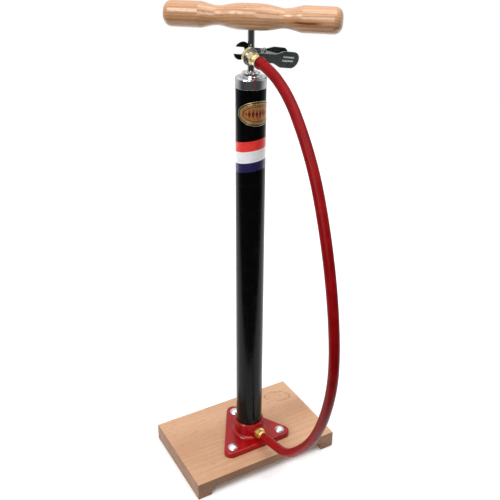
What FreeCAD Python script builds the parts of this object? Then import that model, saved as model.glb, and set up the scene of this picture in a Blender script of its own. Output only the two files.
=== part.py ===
"""Floor bike pump: a steel barrel on a cast foot and a wooden board, with a wooden cross handle,
a red rubber hose and a clip-on valve head that is parked on the piston rod.

Millimetres. +Z is up, the floor is z = 0, the barrel's axis is x = y = 0, +X runs along the
board's long side and -Y is the side that the outlet, the hose and the head face.
"""
import FreeCAD, Part
import math
import os

from FreeCAD import Matrix, Placement, Vector

# ---- driving dimensions ----------------------------------------------------------------------
# gaps between parts, and reaches of the cutters
running_gap = 0.05            # between parts that slide or seat in one another
press_gap = 0.02              # between parts that are screwed or pressed together
bolt_gap = 0.2
margin = 1.0                  # how far a cutter stands out of what it cuts
through = 700.0               # longer than any part
tolerance = 0.01

# board and battens
board_length = 230.0
board_depth = 146.4
board_thickness = 13.2
board_setback = 13.2          # how far the board's centre lies behind the barrel's axis
board_edge = 1.0
batten_width = 21.0
batten_height = 13.6
batten_edge = 0.8
board_top = batten_height + board_thickness

# countersunk batten screws
screw_spread = 0.36           # their distance from the board's middle, as a share of its depth
screw_radius = 2.0
screw_head_radius = 4.0
screw_head_low = 0.4
screw_head_high = 2.6
screw_point = 20.5
screw_tip = 22.0
screw_hole = 2.25
screw_pilot = 2.05
screw_pilot_depth = 9.0
countersink_radius = 4.6
drive_half_length = 2.2
drive_half_width = 0.45
drive_depth = 1.6

# cast foot
bolt_circle = 46.4            # radius on which the three bolts stand
bolt_angles = (90.0, 210.0, 330.0)
casting_corner_circle = 50.5  # radius on which the triangle's corner arcs are centred
casting_corner = 10.7
casting_plate = 9.0
casting_rim = 2.4             # round of the plate's upper edge
casting_floor = 8.0
collar_radius = 21.8
collar_height = 33.0          # above the board
collar_edge = 1.2
collar_foot_radius = 25.6
collar_foot_height = 1.6      # above the plate
collar_foot_slope = 1.6
seat_depth = 12.0             # the barrel's gasket ledge, above the board
boss_radius = 8.0
boss_start = 15.0
boss_bore = 5.0

# carriage bolts, washers and nuts
bolt_radius = 3.0
bolt_head_radius = 7.5
bolt_head_height = 4.4
bolt_neck = 3.0               # half width of the square neck
bolt_neck_depth = 3.5
bolt_end = 3.6                # height of the bolt's lower end
bolt_end_cone = 0.6
bolt_washer_radius = 6.0
bolt_washer_thickness = 1.6
bolt_nut_flats = 10.0
bolt_nut_height = 5.0
nut_cone_height = 1.2         # turned on the upper end of every nut
nut_cone_slope = 1.7

# barrel
barrel_radius = 19.0
barrel_wall = 1.5
barrel_bore = barrel_radius - barrel_wall
barrel_top = board_top + 537.0
barrel_port = 2.5
gasket_thickness = 1.5
buffer_radius = 8.0
bottom_buffer_height = 10.0
top_buffer_height = 3.0

# cap and gland
cap_radius = 19.6
cap_height = 12.5
cap_edge = 0.5
cap_shoulder = 1.6
cap_fall = 0.2                # the top's slight fall from its step to its edge
cap_spigot = 15.0
cap_step_radius = 13.5
cap_step_height = 2.0
cap_step_edge = 0.6
gland_radius = 11.0
gland_height = 3.6
gland_lip_radius = 7.0
gland_edge = 0.8
gland_gap = 0.35
bush_radius = 7.0
bush_length = 18.0
wiper_radius = 7.1
wiper_bore = 7.2

# rod, piston and handle
rod_radius = 4.0
rod_foot_edge = 0.8
rod_top_edge = 0.6
rod_rest_gap = 0.2            # between the rod's foot and the buffer
rod_thread = 1.0              # thread below the piston's nut
piston_nut_flats = 13.0
piston_nut_height = 6.5
lock_nut_height = 5.0
piston_washer_radius = 13.0
piston_washer_thickness = 2.0
cup_thickness = 3.0
cup_lip = 4.0
cup_root_radius = 13.6
cup_lip_radius = 15.6
cup_edge = 0.6
piston_plate_radius = 16.6
piston_plate_thickness = 3.0
handle_height = board_top + 617.5
handle_half_length = 105.0
handle_turn = -43.6           # direction of the handle's axis in plan, degrees from +X
handle_bulb = 15.1
handle_bulb_start = 61.0
handle_bulb_slope = 0.18
handle_end_round = 9.0
handle_middle = 15.0
handle_swell = ((0.0, 15.0), (16.0, 14.7), (27.0, 13.0), (40.0, 11.0), (50.0, 12.4))
insert_bore = 6.5             # the handle's blind bore for the steel insert
insert_bore_top = 7.0         # above the handle's axis
insert_top = 6.5
insert_recess = 1.2
rod_top = 6.0

# outlet with its check valve
outlet_angle = -84.0
outlet_height = 47.5
outlet_spigot_start = 19.3    # distances from the barrel's axis along the outlet
boss_end = 24.0
hex_end = 31.0
outlet_shoulder_end = 37.0
outlet_barb_end = 50.0
outlet_flats = 14.0
outlet_washer_radius = 7.2
outlet_washer_thickness = 1.0
ball_radius = 2.75
ball_gap = 0.02
valve_seat = 21.0
seat_bore = 1.9
chamber_bore = 3.3
valve_spring_radius = 2.3
valve_spring_wire = 0.5
valve_spring_turns = 2.5

# hose, and the turned tails that it is pushed on
hose_radius = 6.35
hose_bore = 3.25
hose_lead_head = 43.0         # straight leads out of the head and into the outlet
hose_lead_outlet = 26.0
hose_bow = ((-10, -149, 523), (-18, -194, 452), (-19, -218, 370), (-15, -222, 287),
            (-8, -201, 210), (-1, -167, 142), (4, -126, 90), (6, -96, 59))
hose_swell_radius = 7.7       # where the hose is stretched over the head's tail
hose_swell_length = 9.0
turn_share = 0.45             # share of the shorter run that each bend of the hose takes
clip_origin_height = board_top + 577.5
tail_flange = 6.3
tail_flange_width = 2.4
tail_neck = 5.9
tail_edge = 0.5
tail_slope = 1.0
tail_collar_width = 1.2
tail_bore = 1.6
tail_tip = 2.4
tail_plug_outlet = 1.5
tail_plug_head = 2.5

# valve head: its own frame has x along the levers, y up and z out of the nipple
clip_turn = 6.6               # degrees about the vertical
clip_nose_down = 12.0
clip_levers_down = 10.9
clip_offset = 8.4             # the nipple's axis passes this far beside the rod's axis
sheet = 1.6                   # thickness of the pressed levers
sheet_edge = 0.45
fork_face = -7.0              # the fork plate's face that bears on the rod
mouth_face = 5.3              # the mouth nut's face
front_plate = 10.6            # inner face of the front lever
fork_radius = 11.0
fork_slot = 9.0
disc_radius = 10.5
front_neck = 5.6              # half widths of the necks, to the outside of the front lever's walls
fork_neck = 5.0
fork_ear = 3.8                # half width over the fork lever's walls, inside the front lever's
taper_start = 36.0
pad_start = 48.0
front_pad = (75.0, 10.2)      # end and half width of the thumb pads
fork_pad = (72.0, 8.4)
root_round = 5.0
shoulder_round = 12.0
front_wall = (13.0, 47.0)     # where the bent walls leave the plates
fork_wall = (16.5, 45.0)
wall_lead = 2.0
wall_trail = 3.0
wall_drop = 2.0
rib_run = (48.0, 65.5)
rib_places = (-0.9, 3.5)      # heights of the two ribs across the front pad
rib_half_width = 0.95
rib_height = 0.8
rib_edge = 0.35
eye_radius = 4.8
pivot_x = 26.0
pivot_z = 1.2
pin_radius = 2.0
pin_half_length = 8.8
pin_edge = 0.7
pin_collar_radius = 2.9
pin_collar_width = 0.8
pin_collar_gap = 0.1
lever_spring_wire = 1.0
lever_spring_radius = 3.2
lever_spring_turns = 3.0
lever_spring_leg = 15.0
lever_spring_foot = 6.0
lever_spring_gap = 0.1

# mouth nut, its seal and the nipple
mouth_bore = 3.9
mouth_radius = 9.6
mouth_edge = 0.8
mouth_back_edge = 0.5
mouth_lip = 1.5               # thickness of the nut's face in front of the seal
knurl_count = 30
knurl_radius = 0.45
knurl_offset = 0.15
nipple_radius = 6.4
nipple_slack = 0.15
seal_pocket = 5.0
seal_top = front_plate + 1.4
nipple_flange_radius = 8.2
nipple_flange_width = 1.2
nipple_flats = 13.0
nipple_length = 7.0           # outside the front lever
nipple_bore = 1.6
socket_radius = 3.4
socket_start = 4.0
tail_end = 28.5
barb_length = 16.0
barb_point = 1.0

X, Y, Z = Vector(1, 0, 0), Vector(0, 1, 0), Vector(0, 0, 1)


# ---- helpers ---------------------------------------------------------------------------------
def save(name, shape):
    shape.exportStep(f"parts/{name}.step")
    solids = shape.Solids
    print(f"{name:18s} solids {len(solids)} valid {shape.isValid()} volume {shape.Volume / 1000:.3f} cm3")


def rod_between(radius, low, high, x=0.0, y=0.0):
    return Part.makeCylinder(radius, high - low, Vector(x, y, low))


def ring(outer, inner, low, high, x=0.0, y=0.0):
    return rod_between(outer, low, high, x, y).cut(rod_between(inner, low - margin, high + margin, x, y))


def block(low, high):
    return Part.makeBox(high[0] - low[0], high[1] - low[1], high[2] - low[2], Vector(*low))


def hexagon(across_flats, low, high):
    corner = across_flats / math.sqrt(3)
    points = [Vector(corner * math.cos(math.radians(60 * k)), corner * math.sin(math.radians(60 * k)), low)
              for k in range(7)]
    prism = Part.Face(Part.makePolygon(points)).extrude(Vector(0, 0, high - low))
    # the upper end is turned to a cone
    shoulder = high - nut_cone_height
    widest = corner + margin
    narrow = widest - nut_cone_height * nut_cone_slope
    cone = Part.makeCone(widest, narrow, nut_cone_height, Vector(0, 0, shoulder))
    keep = rod_between(widest + margin, low, shoulder).fuse(cone)
    return prism.common(keep)


def revolve(points, axis=Z):
    """Turn a closed outline of (radius, height) points about the local z axis."""
    wire = Part.makePolygon([Vector(r, 0, h) for r, h in points + points[:1]])
    return Part.Face(wire).revolve(Vector(0, 0, 0), axis, 360)


def edges_from(body, level):
    """Edges that lie at a level or above it."""
    return [e for e in body.Edges if e.BoundBox.ZMin > level - tolerance]


def polar(radius, angle):
    return radius * math.cos(math.radians(angle)), radius * math.sin(math.radians(angle))


def group(shapes):
    return Part.makeCompound(shapes)


def frame_at(origin, x_axis, y_axis, z_axis):
    return Placement(Matrix(x_axis.x, y_axis.x, z_axis.x, origin.x,
                            x_axis.y, y_axis.y, z_axis.y, origin.y,
                            x_axis.z, y_axis.z, z_axis.z, origin.z,
                            0, 0, 0, 1))


def moved(shape, placement):
    out = shape.copy()
    out.Placement = placement.multiply(out.Placement)
    return out


def coil(radius, wire, low, high, turns):
    """A helical spring of round wire about the local z axis, between two heights."""
    height = high - low - wire
    path = Part.makeHelix(height / turns, height, radius)
    path.translate(Vector(0, 0, low + wire / 2))
    start = Vector(radius, 0, low + wire / 2)
    rise = height / turns
    section = Part.Wire(Part.makeCircle(wire / 2, start, Vector(0, 2 * math.pi * radius, rise)))
    return Part.Wire(path.Edges).makePipeShell([section], True, True)


# ---- frames of the outlet and of the valve head ------------------------------------------------
outlet_out = Vector(*polar(1, outlet_angle), 0)
outlet_frame = frame_at(Vector(0, 0, outlet_height), Z, outlet_out.cross(Z), outlet_out)


def clip_axes():
    turn = math.radians(clip_turn)
    nose = math.radians(clip_nose_down)
    droop = math.radians(clip_levers_down)
    along = Vector(math.cos(turn), math.sin(turn), 0)
    ahead = Vector(math.sin(turn), -math.cos(turn), 0)
    out = ahead * math.cos(nose) - Z * math.sin(nose)
    upright = ahead * math.sin(nose) + Z * math.cos(nose)
    lever = along * math.cos(droop) - upright * math.sin(droop)
    up = upright * math.cos(droop) + along * math.sin(droop)
    return along, lever, up, out


clip_along, clip_x, clip_y, clip_z = clip_axes()
clip_origin = Vector(0, 0, clip_origin_height) - clip_along * clip_offset
clip_frame = frame_at(clip_origin, clip_x, clip_y, clip_z)


# ---- board and battens -------------------------------------------------------------------------
def batten_centres():
    reach = board_length / 2 - batten_width / 2
    return (-reach, reach)


def screw_places():
    spread = board_depth * screw_spread
    return [(x, board_setback + side * spread) for x in batten_centres() for side in (-1, 1)]


def foot_board():
    low = (-board_length / 2, board_setback - board_depth / 2, batten_height)
    high = (board_length / 2, board_setback + board_depth / 2, board_top)
    body = block(low, high)
    body = body.makeFillet(board_edge, edges_from(body, board_top))
    for angle in bolt_angles:
        body = body.cut(rod_between(bolt_radius + bolt_gap, 0, through, *polar(bolt_circle, angle)))
    for x, y in screw_places():
        body = body.cut(rod_between(screw_pilot, 0, batten_height + screw_pilot_depth, x, y))
    return body


def batten(x):
    half = batten_width / 2
    low = (x - half, board_setback - board_depth / 2, 0)
    high = (x + half, board_setback + board_depth / 2, batten_height)
    body = block(low, high)
    foot_edges = [e for e in body.Edges if e.BoundBox.ZMax < tolerance]
    body = body.makeChamfer(batten_edge, foot_edges)
    for sx, sy in screw_places():
        if abs(sx - x) < half:
            body = body.cut(rod_between(screw_hole, -margin, through, sx, sy))
            sink = Part.makeCone(countersink_radius, screw_hole, screw_head_high, Vector(sx, sy, 0))
            body = body.cut(sink)
    return body


def batten_screw(x, y):
    blunt = screw_radius / 5
    screw = revolve([(0, screw_head_low), (screw_head_radius, screw_head_low),
                     (screw_radius, screw_head_high), (screw_radius, screw_point),
                     (blunt, screw_tip), (0, screw_tip)])
    for half_x, half_y in ((drive_half_length, drive_half_width), (drive_half_width, drive_half_length)):
        screw = screw.cut(block((-half_x, -half_y, -margin), (half_x, half_y, drive_depth)))
    screw.translate(Vector(x, y, 0))
    return screw


# ---- cast foot and its fasteners -----------------------------------------------------------------
def casting_outline(radius, corner):
    """A triangle with round corners, as a wire of arcs and tangent lines."""
    edges = []
    count = len(bolt_angles)
    for k, angle in enumerate(bolt_angles):
        centre = Vector(*polar(radius, angle), 0)
        first = centre + Vector(*polar(corner, angle - 60), 0)
        middle = centre + Vector(*polar(corner, angle), 0)
        last = centre + Vector(*polar(corner, angle + 60), 0)
        following = bolt_angles[(k + 1) % count]
        next_first = Vector(*polar(radius, following), 0) + Vector(*polar(corner, following - 60), 0)
        edges.append(Part.Arc(first, middle, last).toShape())
        edges.append(Part.LineSegment(last, next_first).toShape())
    return Part.Wire(edges)


def base_casting():
    plate = Part.Face(casting_outline(casting_corner_circle, casting_corner)).extrude(Z * casting_plate)
    plate.translate(Z * board_top)
    top = board_top + casting_plate
    plate = plate.makeFillet(casting_rim, edges_from(plate, top))
    collar_top = board_top + collar_height
    foot_top = top + collar_foot_height
    collar = revolve([(0, board_top), (collar_foot_radius, board_top), (collar_foot_radius, foot_top),
                      (collar_foot_radius - collar_edge, foot_top + collar_edge),
                      (collar_radius, foot_top + collar_edge + collar_foot_slope),
                      (collar_radius, collar_top - collar_edge),
                      (collar_radius - collar_edge, collar_top), (0, collar_top)])
    boss = moved(rod_between(boss_radius, boss_start, boss_end), outlet_frame)
    body = plate.fuse([collar, boss]).removeSplitter()
    ledge = board_top + seat_depth - gasket_thickness
    body = body.cut(rod_between(barrel_radius + running_gap, ledge, through))
    body = body.cut(rod_between(barrel_bore, board_top + casting_floor, through))
    body = body.cut(moved(rod_between(boss_bore, 0, boss_end + margin), outlet_frame))
    neck = bolt_neck + running_gap
    neck_low = top - bolt_neck_depth - running_gap
    for angle in bolt_angles:
        x, y = polar(bolt_circle, angle)
        body = body.cut(rod_between(bolt_radius + bolt_gap, 0, through, x, y))
        body = body.cut(block((x - neck, y - neck, neck_low), (x + neck, y + neck, top + margin)))
    return body


def casting_bolt(x, y):
    seat = board_top + casting_plate
    sphere = (bolt_head_radius ** 2 + bolt_head_height ** 2) / (2 * bolt_head_height)
    dome = Part.makeSphere(sphere, Vector(x, y, seat + bolt_head_height - sphere))
    dome = dome.common(rod_between(bolt_head_radius, seat, seat + bolt_head_height + margin, x, y))
    neck_low = seat - bolt_neck_depth
    neck = block((x - bolt_neck, y - bolt_neck, neck_low), (x + bolt_neck, y + bolt_neck, seat))
    shank = rod_between(bolt_radius, bolt_end + bolt_end_cone, seat, x, y)
    tip = Part.makeCone(bolt_radius - bolt_end_cone, bolt_radius, bolt_end_cone, Vector(x, y, bolt_end))
    return dome.fuse([neck, shank, tip]).removeSplitter()


def bolt_washer(x, y):
    low = batten_height - bolt_washer_thickness
    return ring(bolt_washer_radius, bolt_radius + bolt_gap, low, batten_height, x, y)


def bolt_nut(x, y):
    high = batten_height - bolt_washer_thickness
    nut = hexagon(bolt_nut_flats, high - bolt_nut_height, high)
    nut = nut.cut(rod_between(bolt_radius + running_gap, 0, through))
    nut.translate(Vector(x, y, 0))
    return nut


def at_bolts(make):
    return group([make(*polar(bolt_circle, angle)) for angle in bolt_angles])


# ---- barrel, cap and gland -----------------------------------------------------------------------
def barrel_tube():
    low = board_top + seat_depth
    tube = ring(barrel_radius, barrel_bore, low, barrel_top)
    return tube.cut(moved(rod_between(barrel_port, 0, through), outlet_frame))


def barrel_cap():
    band_top = barrel_top + cap_height
    step_top = band_top + cap_step_height
    spigot = barrel_bore - running_gap
    spigot_low = barrel_top - cap_spigot
    outline = [(0, spigot_low), (spigot - cap_edge, spigot_low), (spigot, spigot_low + cap_edge),
               (spigot, barrel_top), (cap_radius - cap_edge, barrel_top),
               (cap_radius, barrel_top + cap_edge), (cap_radius, band_top - cap_shoulder),
               (cap_radius - cap_edge, band_top - cap_edge),
               (cap_radius - cap_shoulder, band_top), (cap_step_radius, band_top + cap_fall),
               (cap_step_radius, step_top - cap_step_edge), (cap_step_radius - cap_step_edge, step_top),
               (0, step_top)]
    body = revolve(outline)
    body = body.cut(rod_between(bush_radius, 0, spigot_low + bush_length))
    return body.cut(rod_between(wiper_bore, 0, through))


def guide_bush():
    low = barrel_top - cap_spigot
    return ring(bush_radius - press_gap, rod_radius + running_gap, low, low + bush_length)


def rod_wiper():
    low = barrel_top - cap_spigot + bush_length
    return ring(wiper_radius, rod_radius + running_gap, low, barrel_top + cap_height + cap_step_height)


def gland_nut():
    low = barrel_top + cap_height + cap_step_height
    high = low + gland_height
    outline = [(0, low), (gland_radius, low), (gland_radius, high - gland_edge),
               (gland_radius - gland_edge, high), (gland_lip_radius, high),
               (gland_lip_radius - gland_edge, high + gland_edge), (0, high + gland_edge)]
    return revolve(outline).cut(rod_between(rod_radius + gland_gap, 0, through))


def top_buffer():
    high = barrel_top - cap_spigot
    return ring(buffer_radius, rod_radius + gland_gap, high - top_buffer_height, high)


# ---- outlet, check valve and hose ------------------------------------------------------------------
def outlet_body():
    seat = boss_end + outlet_washer_thickness
    spigot = rod_between(boss_bore - running_gap, outlet_spigot_start, seat)
    body = spigot.fuse(hexagon(outlet_flats, seat, hex_end)).removeSplitter()
    body = body.cut(rod_between(seat_bore, 0, valve_seat + margin))
    body = body.cut(rod_between(chamber_bore, valve_seat, through))
    return moved(body, outlet_frame)


def outlet_washer():
    high = boss_end + outlet_washer_thickness
    return moved(ring(outlet_washer_radius, boss_bore + running_gap, boss_end, high), outlet_frame)


def ball_place():
    return valve_seat + math.sqrt(ball_radius ** 2 - seat_bore ** 2) + ball_gap


def valve_ball():
    return moved(Part.makeSphere(ball_radius, Vector(0, 0, ball_place())), outlet_frame)


def valve_spring():
    low = ball_place() + ball_radius + running_gap
    high = hex_end - tail_plug_outlet - 2 * running_gap
    return moved(coil(valve_spring_radius, valve_spring_wire, low, high, valve_spring_turns), outlet_frame)


def turned_tail(low, shoulder_end, barb_end, plug_radius, plug_length):
    """A plug, a flange, a neck, a collar as wide as the hose, and a spigot inside the hose."""
    plug_low = low - plug_length
    flange_high = low + tail_flange_width
    collar_low = shoulder_end - tail_collar_width
    spigot = hose_bore - running_gap
    outline = [(0, plug_low), (plug_radius, plug_low), (plug_radius, low), (tail_flange - tail_edge, low),
               (tail_flange, low + tail_edge), (tail_flange, flange_high),
               (tail_neck, flange_high + tail_slope), (tail_neck, collar_low - tail_slope),
               (hose_radius, collar_low), (hose_radius, shoulder_end), (spigot, shoulder_end),
               (spigot, barb_end - barb_point), (tail_tip, barb_end), (0, barb_end)]
    return revolve(outline).cut(rod_between(tail_bore, 0, through))


def outlet_tail():
    plug = chamber_bore - running_gap
    tail = turned_tail(hex_end, outlet_shoulder_end, outlet_barb_end, plug, tail_plug_outlet)
    return moved(tail, outlet_frame)


def hose_route():
    """From the head's tail, out to the front in one long bow, and back to the outlet."""
    start = clip_origin + clip_z * tail_end
    finish = Vector(*polar(outlet_shoulder_end, outlet_angle), outlet_height)
    middle = [Vector(*place) for place in hose_bow]
    lead_out = start + clip_z * hose_lead_head
    lead_in = finish + outlet_out * hose_lead_outlet
    return [start, lead_out, *middle, lead_in, finish]


def smooth_path(points):
    """Straight runs joined by tangent arcs; each arc takes the same share of its shorter run."""
    edges = []
    radii = []
    here = points[0]
    for before, corner, after in zip(points, points[1:], points[2:]):
        into = corner - before
        away = after - corner
        back = turn_share * min(into.Length, away.Length)
        into_dir = Vector(into).normalize()
        away_dir = Vector(away).normalize()
        half_turn = into_dir.getAngle(away_dir) / 2
        radius = back / math.tan(half_turn)
        radii.append(radius)
        enter = corner - into_dir * back
        leave = corner + away_dir * back
        inward = (away_dir - into_dir).normalize()
        middle = corner + inward * (radius / math.cos(half_turn) - radius)
        edges.append(Part.LineSegment(here, enter).toShape())
        edges.append(Part.Arc(enter, middle, leave).toShape())
        here = leave
    edges.append(Part.LineSegment(here, points[-1]).toShape())
    return Part.Wire(edges), radii


def hose():
    path, radii = smooth_path(hose_route())
    start = hose_route()[0]
    outside, inside = [path.makePipeShell([Part.Wire(Part.makeCircle(r, start, clip_z))], True, False)
                       for r in (hose_radius, hose_bore)]
    body = outside.cut(inside)
    section = math.pi * (hose_radius ** 2 - hose_bore ** 2)
    print("hose length", round(path.Length, 1), "radii", [round(r) for r in radii])
    print("hose volume", round(body.Volume), "section times length", round(section * path.Length))
    swell = Part.makeCone(hose_swell_radius, hose_radius, hose_swell_length, start, clip_z)
    return body.fuse(swell.cut(inside)).removeSplitter()


# ---- piston, rod and handle ------------------------------------------------------------------------
buffer_top = board_top + casting_floor + bottom_buffer_height
rod_foot = buffer_top + rod_rest_gap
nut_low = rod_foot + rod_thread
washer_low = nut_low + piston_nut_height
cup_low = washer_low + piston_washer_thickness
plate_low = cup_low + cup_thickness
lock_low = plate_low + piston_plate_thickness


def bottom_buffer():
    return rod_between(buffer_radius, board_top + casting_floor, buffer_top)


def piston_rod():
    top = handle_height + rod_top
    outline = [(0, rod_foot), (rod_radius - rod_foot_edge, rod_foot), (rod_radius, rod_foot + rod_foot_edge),
               (rod_radius, top - rod_top_edge), (rod_radius - rod_top_edge, top), (0, top)]
    return revolve(outline)


def piston_nut(low, height):
    return hexagon(piston_nut_flats, low, low + height).cut(rod_between(rod_radius + press_gap, 0, through))


def piston_washer():
    return ring(piston_washer_radius, rod_radius + press_gap, washer_low, cup_low)


def cup_seal():
    outer = barrel_bore - running_gap
    inner = rod_radius + running_gap
    low = cup_low + running_gap
    high = plate_low - running_gap
    outline = [(inner, low), (cup_root_radius, low), (cup_lip_radius, cup_low - cup_lip),
               (outer, cup_low - cup_lip), (outer, high - cup_edge), (outer - cup_edge, high), (inner, high)]
    return revolve(outline)


def piston_plate():
    return ring(piston_plate_radius, rod_radius + press_gap, plate_low, lock_low)


def handle():
    """Turned along its own axis: a middle swelling, two necks and two bulbs with round ends."""
    end = handle_half_length
    round_start = end - handle_end_round
    flat = handle_bulb - handle_end_round
    swell = Part.BSplineCurve()
    swell.interpolate(Points=[Vector(*place, 0) for place in handle_swell]
                      + [Vector(handle_bulb_start, handle_bulb, 0)],
                      InitialTangent=X, FinalTangent=Vector(1, handle_bulb_slope, 0))
    corner = handle_end_round * math.sin(math.pi / 4)
    bulb_in = Vector(handle_bulb_start, handle_bulb, 0)
    bulb_out = Vector(round_start, handle_bulb, 0)
    round_middle = Vector(round_start + corner, flat + corner, 0)
    rim = Vector(end, flat, 0)
    tip = Vector(end, 0, 0)
    centre = Vector(0, 0, 0)
    edges = [swell.toShape(), Part.LineSegment(bulb_in, bulb_out).toShape(),
             Part.Arc(bulb_out, round_middle, rim).toShape(), Part.LineSegment(rim, tip).toShape(),
             Part.LineSegment(tip, centre).toShape(),
             Part.LineSegment(centre, Vector(0, handle_middle, 0)).toShape()]
    half = Part.Face(Part.Wire(edges)).revolve(centre, X, 360)
    body = half.fuse(half.mirror(centre, X)).removeSplitter()
    body.rotate(centre, Z, handle_turn)
    body.translate(Z * handle_height)
    below = handle_height - 2 * handle_middle
    return body.cut(rod_between(insert_bore, below, handle_height + insert_bore_top))


def handle_insert():
    low = handle_height - handle_middle + insert_recess
    return ring(insert_bore - running_gap, rod_radius + press_gap, low, handle_height + insert_top)


# ---- valve head ------------------------------------------------------------------------------------
def lever_outline(round_radius, neck, pad_end, pad_half_width):
    """Disc, neck and thumb pad of one pressed lever, standing on the plane z = 0."""
    tip_x = pad_end - pad_half_width
    disc = rod_between(round_radius, 0, sheet)
    stem = block((0, -neck, 0), (pad_start, neck, sheet))
    pad = block((pad_start, -pad_half_width, 0), (tip_x, pad_half_width, sheet))
    tip = rod_between(pad_half_width, 0, sheet, tip_x, 0)
    points = [Vector(taper_start, -neck, 0), Vector(pad_start, -pad_half_width, 0),
              Vector(pad_start, pad_half_width, 0), Vector(taper_start, neck, 0)]
    taper = Part.Face(Part.makePolygon(points + points[:1])).extrude(Z * sheet)
    body = disc.fuse([stem, taper, pad, tip]).removeSplitter()
    body = body.makeFillet(root_round, upright_edges(body, 0, round_radius))
    body = body.makeFillet(shoulder_round, upright_edges(body, taper_start, pad_start))
    rim = [e for e in body.Edges if e.BoundBox.ZLength < tolerance]
    return body.makeFillet(sheet_edge, rim)


def upright_edges(body, low, high):
    """Upright corners of a lever's outline between two places along it."""
    return [e for e in body.Edges if e.BoundBox.ZLength > sheet / 2 and e.BoundBox.XLength < tolerance
            and low - margin < e.BoundBox.XMin < high + margin and abs(e.BoundBox.YMin) > margin]


def lever_walls(outer, plate, face, run):
    """Two side walls bent from the neck, round about the pin: plate is the middle of the sheet, face
    its side that the walls stand on, and run where they start and end."""
    start, end = run
    drop = math.copysign(wall_drop, face - plate)
    outline = [(start, plate), (start + wall_lead, face + drop), (pivot_x - eye_radius, pivot_z),
               (pivot_x + eye_radius, pivot_z), (end - wall_trail, face + drop), (end, plate)]
    walls = []
    for side in (-1, 1):
        inner_y = side * (outer - sheet)
        corners = [Vector(x, inner_y, z) for x, z in outline]
        wall = Part.Face(Part.makePolygon(corners + corners[:1])).extrude(Y * side * sheet)
        eye = Part.makeCylinder(eye_radius, sheet, Vector(pivot_x, inner_y, pivot_z), Y * side)
        walls.append(wall.fuse(eye).removeSplitter())
    return walls


def pin_hole():
    return Part.makeCylinder(pin_radius + running_gap, 2 * through, Vector(pivot_x, -through, pivot_z), Y)


def pad_ribs(face):
    ribs = []
    top = face + rib_height
    for y in rib_places:
        rib = block((rib_run[0], y - rib_half_width, face), (rib_run[1], y + rib_half_width, top))
        ribs.append(rib.makeFillet(rib_edge, edges_from(rib, top)))
    return ribs


def nipple_lever():
    plate = lever_outline(disc_radius, front_neck, *front_pad)
    plate.translate(Z * front_plate)
    walls = lever_walls(front_neck, front_plate + sheet / 2, front_plate, front_wall)
    body = plate.fuse(walls + pad_ribs(front_plate + sheet)).removeSplitter()
    body = body.cut(rod_between(nipple_radius + nipple_slack, 0, through))
    return moved(body.cut(pin_hole()), clip_frame)


def fork_lever():
    plate = lever_outline(fork_radius, fork_neck, *fork_pad)
    plate.translate(Z * (fork_face - sheet))
    walls = lever_walls(fork_ear, fork_face - sheet / 2, fork_face, fork_wall)
    body = plate.fuse(walls).removeSplitter()
    half = fork_slot / 2
    body = body.cut(rod_between(half, fork_face - 2 * sheet, 0))
    body = body.cut(block((-2 * fork_radius, -half, fork_face - 2 * sheet), (0, half, 0)))
    return moved(body.cut(pin_hole()), clip_frame)


def lever_pin():
    pin = Part.makeCylinder(pin_radius, 2 * pin_half_length, Vector(pivot_x, -pin_half_length, pivot_z), Y)
    pin = pin.makeFillet(pin_edge, [e for e in pin.Edges if e.BoundBox.YLength < tolerance])
    collars = []
    for side in (-1, 1):
        start = Vector(pivot_x, side * (front_neck + pin_collar_gap), pivot_z)
        collars.append(Part.makeCylinder(pin_collar_radius, pin_collar_width, start, Y * side))
    return moved(pin.fuse(collars).removeSplitter(), clip_frame)


def lever_spring():
    """Torsion spring: a coil about the pin and one leg along each lever."""
    thick = lever_spring_wire / 2
    half = fork_ear - sheet - lever_spring_gap
    turns = coil(lever_spring_radius, lever_spring_wire, -half, half, lever_spring_turns)
    turns.rotate(Vector(0, 0, 0), X, -90)
    turns.translate(Vector(pivot_x, 0, pivot_z))
    clear = thick + lever_spring_gap
    legs = []
    for side, face in ((-1, fork_face + clear), (1, front_plate - clear)):
        y = side * (half - thick)
        root = Vector(pivot_x, y, pivot_z + side * lever_spring_radius)
        bend = Vector(pivot_x + lever_spring_leg, y, face)
        run = bend - root
        legs.append(Part.makeCylinder(thick, run.Length, root, run))
        legs.append(Part.makeSphere(thick, bend))
        legs.append(Part.makeCylinder(thick, lever_spring_foot, bend, X))
    return moved(turns.fuse(legs).removeSplitter(), clip_frame)


def mouth_nut():
    rim = mouth_radius
    body = revolve([(0, mouth_face), (rim - mouth_edge, mouth_face), (rim, mouth_face + mouth_edge),
                    (rim, front_plate - mouth_back_edge), (rim - mouth_back_edge, front_plate),
                    (0, front_plate)])
    body = body.cut(rod_between(mouth_bore, 0, through))
    body = body.cut(rod_between(nipple_radius + running_gap, mouth_face + mouth_lip, through))
    for k in range(knurl_count):
        notch = rod_between(knurl_radius, mouth_face - margin, front_plate + margin, rim + knurl_offset, 0)
        notch.rotate(Vector(0, 0, 0), Z, 360 * k / knurl_count)
        body = body.cut(notch)
    return moved(body, clip_frame)


def mouth_seal():
    seal = ring(seal_pocket - running_gap, mouth_bore, mouth_face + mouth_lip, seal_top)
    return moved(seal, clip_frame)


def nipple_body():
    plate_out = front_plate + sheet
    flange_out = plate_out + nipple_flange_width
    spigot = rod_between(nipple_radius, mouth_face + mouth_lip + running_gap, plate_out)
    flange = rod_between(nipple_flange_radius, plate_out, flange_out)
    nut = hexagon(nipple_flats, flange_out, plate_out + nipple_length)
    body = spigot.fuse([flange, nut]).removeSplitter()
    body = body.cut(rod_between(seal_pocket, 0, seal_top))
    body = body.cut(rod_between(nipple_bore, 0, through))
    body = body.cut(rod_between(socket_radius, plate_out + socket_start, through))
    return moved(body, clip_frame)


def hose_tail():
    low = front_plate + sheet + nipple_length
    plug = socket_radius - running_gap
    return moved(turned_tail(low, tail_end, tail_end + barb_length, plug, tail_plug_head), clip_frame)


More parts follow.
